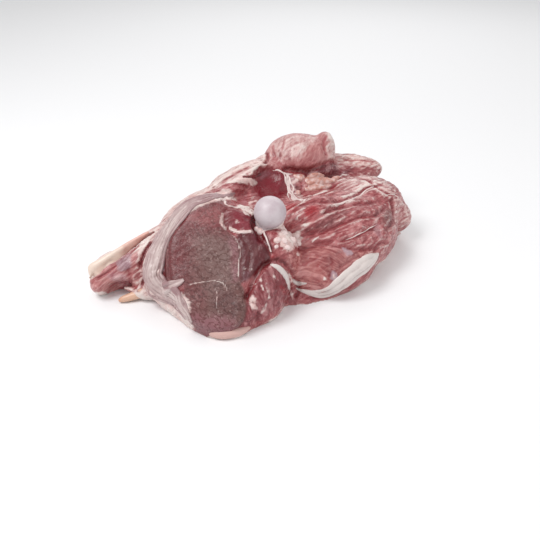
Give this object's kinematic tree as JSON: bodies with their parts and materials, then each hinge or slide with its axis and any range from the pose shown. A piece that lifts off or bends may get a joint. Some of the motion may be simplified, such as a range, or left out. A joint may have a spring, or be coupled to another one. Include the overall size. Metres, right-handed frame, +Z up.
{
  "type": "raw leg of lamb",
  "caption": "Raw leg of lamb with the hip bone taken out, lying on its fat side, with the thigh bone's round head showing.",
  "frame": {"origin": "middle of the leg's box on plan, on the surface that it lies on", "axes": "+X from the shank towards the rump, +Y away from the flat cut of the topside, +Z up"},
  "size_m": [0.2718, 0.211, 0.089],
  "materials": {
    "raw_meat": "moist raw lamb, pink to dark red, with creamy white fat and silverskin",
    "bone": "smooth moist cartilage, greyish white",
    "tendon": "smooth moist tendon, cream"
  },
  "bodies": {
    "root": {"flesh": "raw_meat", "thigh_bone": "bone", "heel_tendon": "tendon"}
  },
  "joints": []
}
